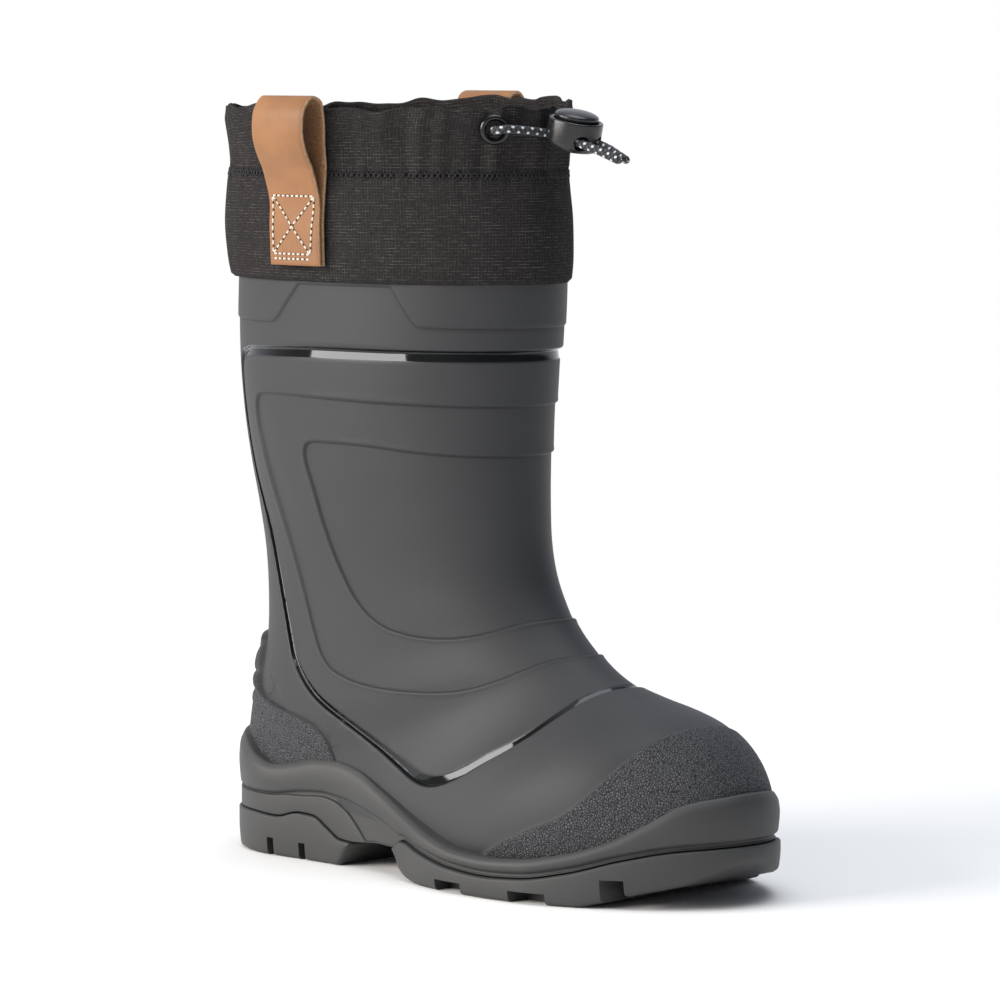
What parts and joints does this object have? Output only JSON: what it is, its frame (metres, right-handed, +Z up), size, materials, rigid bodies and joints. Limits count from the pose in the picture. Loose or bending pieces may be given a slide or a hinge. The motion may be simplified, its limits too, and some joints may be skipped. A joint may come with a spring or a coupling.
{
  "type": "rain boot",
  "caption": "Child's knee-low rain boot: moulded shell on a lugged sole, textile collar with a drawcord and push-button cord lock, two leather pull loops.",
  "frame": {"origin": "middle of the object's box on the floor it stands on", "axes": "+X from heel to toe, +Y to the inner (medial) side of the right foot, +Z up"},
  "size_m": [0.2538, 0.1221, 0.284],
  "materials": {
    "shell_foam": "satin moulded foam, charcoal grey",
    "sole_rubber": "satin moulded rubber, charcoal grey",
    "foot_bed": "felt, black",
    "collar_cloth": "ripstop weave, warm black",
    "leather": "smooth tan leather with cream stitches",
    "eyelet_lacquer": "glossy black lacquer",
    "cord_braid": "round braid, black with white flecks",
    "lock_plastic": "satin black plastic"
  },
  "bodies": {
    "boot": {"upper": "shell_foam", "midsole": "sole_rubber", "outsole_forefoot": "sole_rubber", "outsole_heel": "sole_rubber", "insole": "foot_bed", "cuff": "collar_cloth", "pull_loop_lateral": "leather", "pull_loop_medial": "leather", "eyelet_lateral": "eyelet_lacquer", "eyelet_medial": "eyelet_lacquer", "drawcord_lateral": "cord_braid", "drawcord_medial": "cord_braid", "toggle_body": "lock_plastic"},
    "button": {"toggle_button": "lock_plastic"}
  },
  "joints": [
    {"name": "button_press", "type": "slide", "parent": "boot", "child": "button", "axis": [0.225, 0, 0.9744], "range_m": [-0.0022, 0], "stiffness_N_per_m": 1500, "springref_m": 0.001}
  ]
}
